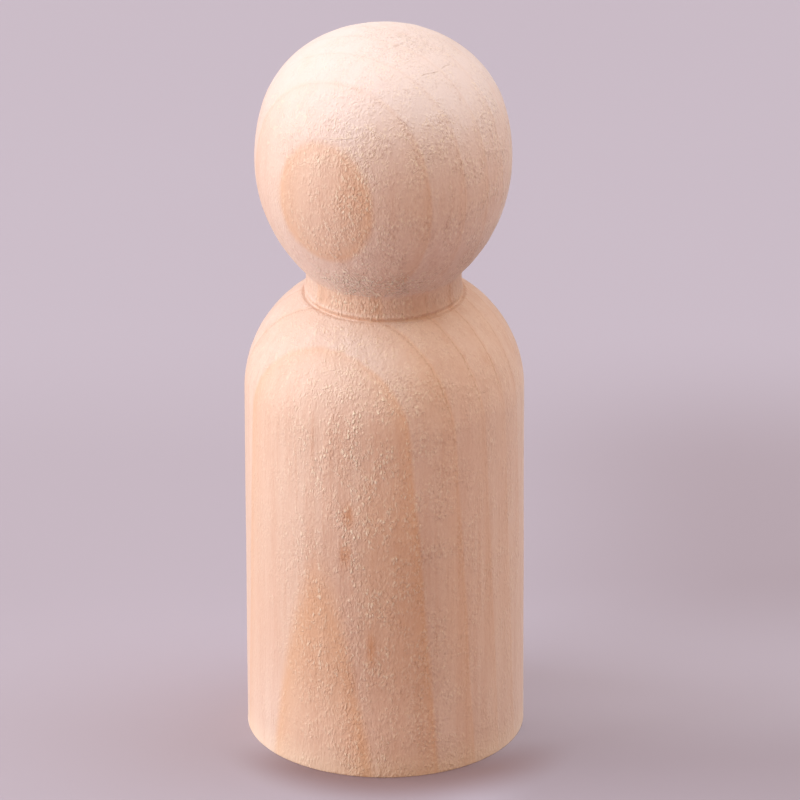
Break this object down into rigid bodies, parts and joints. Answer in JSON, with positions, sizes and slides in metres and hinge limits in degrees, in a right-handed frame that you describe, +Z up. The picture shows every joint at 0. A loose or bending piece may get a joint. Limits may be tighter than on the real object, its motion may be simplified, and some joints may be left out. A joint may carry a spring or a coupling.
{
  "type": "peg doll",
  "caption": "Plain turned wooden peg doll: near-ball head, short creased neck, rounded shoulders and a straight round body on a flat base, to stand, paint or play with.",
  "frame": {"origin": "centre of the flat base, on the surface that the doll stands on", "axes": "+Z up along the turning axis, from the base to the crown; the pictured front faces -Y, with +X to the viewer's right"},
  "size_m": [0.0242, 0.0242, 0.065],
  "materials": {
    "turned_wood": "bare turned wood, fine sanded, no paint or varnish"
  },
  "bodies": {
    "root": {"peg_doll": "turned_wood"}
  },
  "joints": []
}
